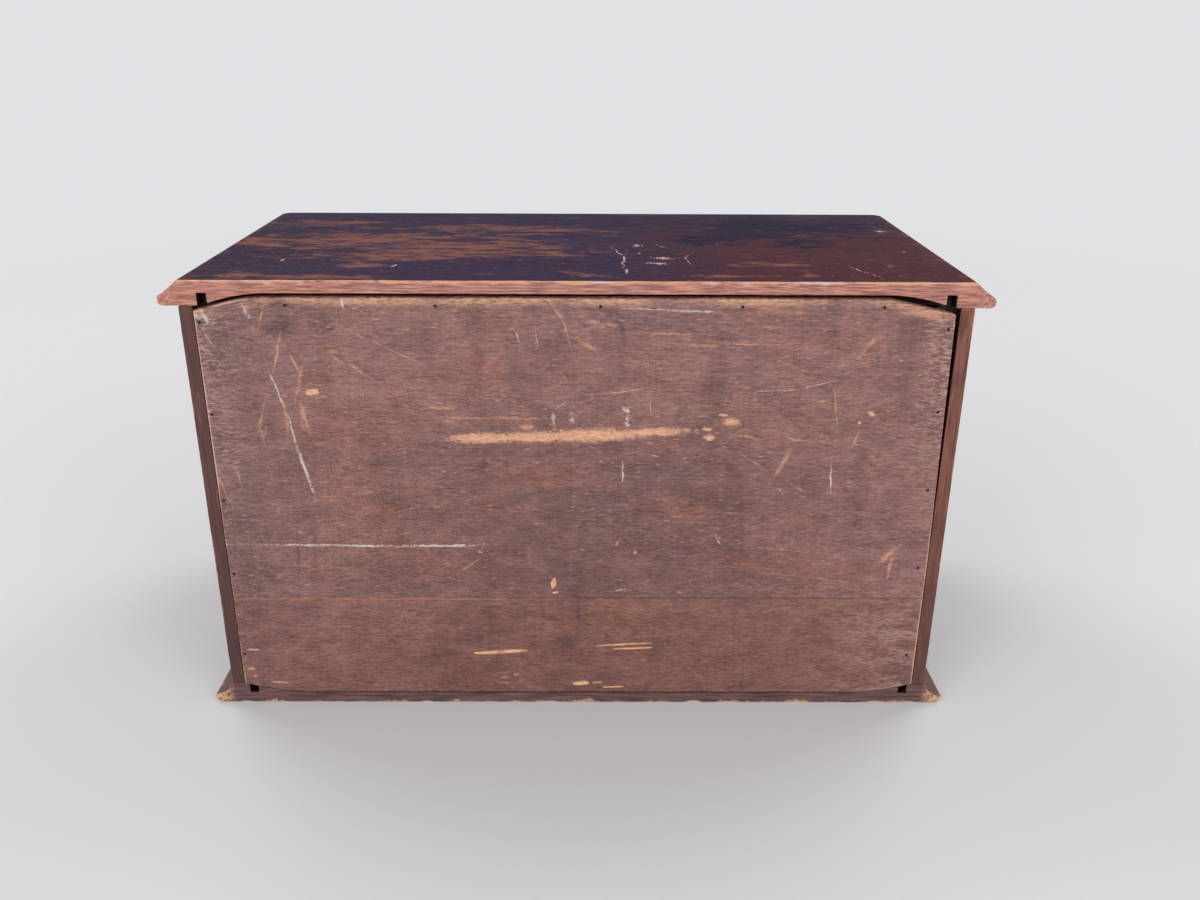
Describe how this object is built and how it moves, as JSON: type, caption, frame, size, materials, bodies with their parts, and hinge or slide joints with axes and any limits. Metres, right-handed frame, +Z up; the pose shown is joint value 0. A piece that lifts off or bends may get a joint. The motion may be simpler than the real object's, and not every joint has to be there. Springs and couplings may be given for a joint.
{
  "type": "haberdashery cabinet",
  "caption": "Low wooden countertop cabinet of shallow sliding drawers, with moulded top and base, turned knobs, and a plain nailed back.",
  "frame": {"origin": "under the middle of the whole cabinet, on the surface that it stands on, with the closed drawers' knobs counted in its depth", "axes": "+X to the right of someone facing the drawers, +Y from the drawers to the back, +Z up"},
  "size_m": [0.596, 0.31, 0.351],
  "materials": {
    "top_wood": "worn dark red-brown stain and varnish",
    "case_wood": "worn red-brown stain and varnish",
    "back_wood": "dull, weathered thin brown stain",
    "drawer_face": "red-brown stain and satin varnish",
    "inner_wood": "bare, aged and dry",
    "brass": "aged, hand-polished"
  },
  "bodies": {
    "cabinet": {"top_board": "top_wood", "base_board": "case_wood", "side_left": "case_wood", "side_right": "case_wood", "back_board_upper": "back_wood", "back_board_lower": "back_wood", "rail_1": "case_wood", "runner_1_left": "inner_wood", "runner_1_right": "inner_wood", "rail_2": "case_wood", "runner_2_left": "inner_wood", "runner_2_right": "inner_wood", "rail_3": "case_wood", "runner_3_left": "inner_wood", "runner_3_right": "inner_wood"},
    "drawer_1": {"drawer_1_front": "drawer_face", "drawer_1_side_left": "inner_wood", "drawer_1_side_right": "inner_wood", "drawer_1_back": "inner_wood", "drawer_1_bottom": "inner_wood", "drawer_1_partition_1": "inner_wood", "drawer_1_partition_2": "inner_wood", "drawer_1_partition_3": "inner_wood", "drawer_1_partition_4": "inner_wood", "drawer_1_knob_left": "brass", "drawer_1_knob_right": "brass"},
    "drawer_2": {"drawer_2_front": "drawer_face", "drawer_2_side_left": "inner_wood", "drawer_2_side_right": "inner_wood", "drawer_2_back": "inner_wood", "drawer_2_bottom": "inner_wood", "drawer_2_partition_1": "inner_wood", "drawer_2_partition_2": "inner_wood", "drawer_2_partition_3": "inner_wood", "drawer_2_partition_4": "inner_wood", "drawer_2_knob_left": "brass", "drawer_2_knob_right": "brass"},
    "drawer_3": {"drawer_3_front": "drawer_face", "drawer_3_side_left": "inner_wood", "drawer_3_side_right": "inner_wood", "drawer_3_back": "inner_wood", "drawer_3_bottom": "inner_wood", "drawer_3_partition_1": "inner_wood", "drawer_3_partition_2": "inner_wood", "drawer_3_partition_3": "inner_wood", "drawer_3_partition_4": "inner_wood", "drawer_3_knob_left": "brass", "drawer_3_knob_right": "brass"},
    "drawer_4": {"drawer_4_front": "drawer_face", "drawer_4_side_left": "inner_wood", "drawer_4_side_right": "inner_wood", "drawer_4_back": "inner_wood", "drawer_4_bottom": "inner_wood", "drawer_4_partition_1": "inner_wood", "drawer_4_partition_2": "inner_wood", "drawer_4_partition_3": "inner_wood", "drawer_4_partition_4": "inner_wood", "drawer_4_knob_left": "brass", "drawer_4_knob_right": "brass"}
  },
  "joints": [
    {"name": "drawer_1_slide", "type": "slide", "parent": "cabinet", "child": "drawer_1", "axis": [0, -1, 0], "range_m": [0, 0.215]},
    {"name": "drawer_2_slide", "type": "slide", "parent": "cabinet", "child": "drawer_2", "axis": [0, -1, 0], "range_m": [0, 0.215]},
    {"name": "drawer_3_slide", "type": "slide", "parent": "cabinet", "child": "drawer_3", "axis": [0, -1, 0], "range_m": [0, 0.215]},
    {"name": "drawer_4_slide", "type": "slide", "parent": "cabinet", "child": "drawer_4", "axis": [0, -1, 0], "range_m": [0, 0.215]}
  ]
}
